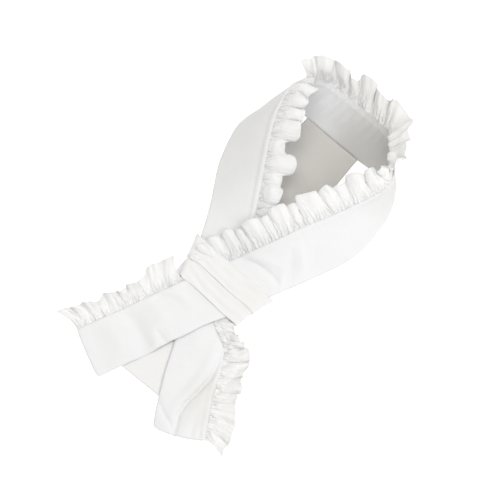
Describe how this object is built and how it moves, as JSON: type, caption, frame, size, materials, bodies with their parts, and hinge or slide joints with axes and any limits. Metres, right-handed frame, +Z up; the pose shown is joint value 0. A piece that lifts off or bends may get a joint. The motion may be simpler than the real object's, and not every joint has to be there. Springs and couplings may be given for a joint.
{
  "type": "kimono collar with a gathered frill",
  "caption": "Flat cotton neck band with a gathered frill, ends crossed and tied by a folded wrap, back panel hanging from the nape, laid flat.",
  "frame": {"origin": "on the surface the collar lies on, under the crossing of its ends, on the underside of the back panel", "axes": "+Z up; +Y from the crossing towards the nape; +X towards the strand whose end crosses on top"},
  "size_m": [0.283, 0.4795, 0.0935],
  "materials": {
    "band_cotton": "matt plain-weave white cotton, double layer",
    "frill_cotton": "thin matt white cotton, gathered, with a rolled hem",
    "wrap_cotton": "matt plain-weave white cotton, folded",
    "panel_cotton": "matt plain-weave white cotton"
  },
  "bodies": {
    "root": {"collar_band": "band_cotton", "frill": "frill_cotton", "keeper_wrap": "wrap_cotton", "back_panel": "panel_cotton"}
  },
  "joints": []
}
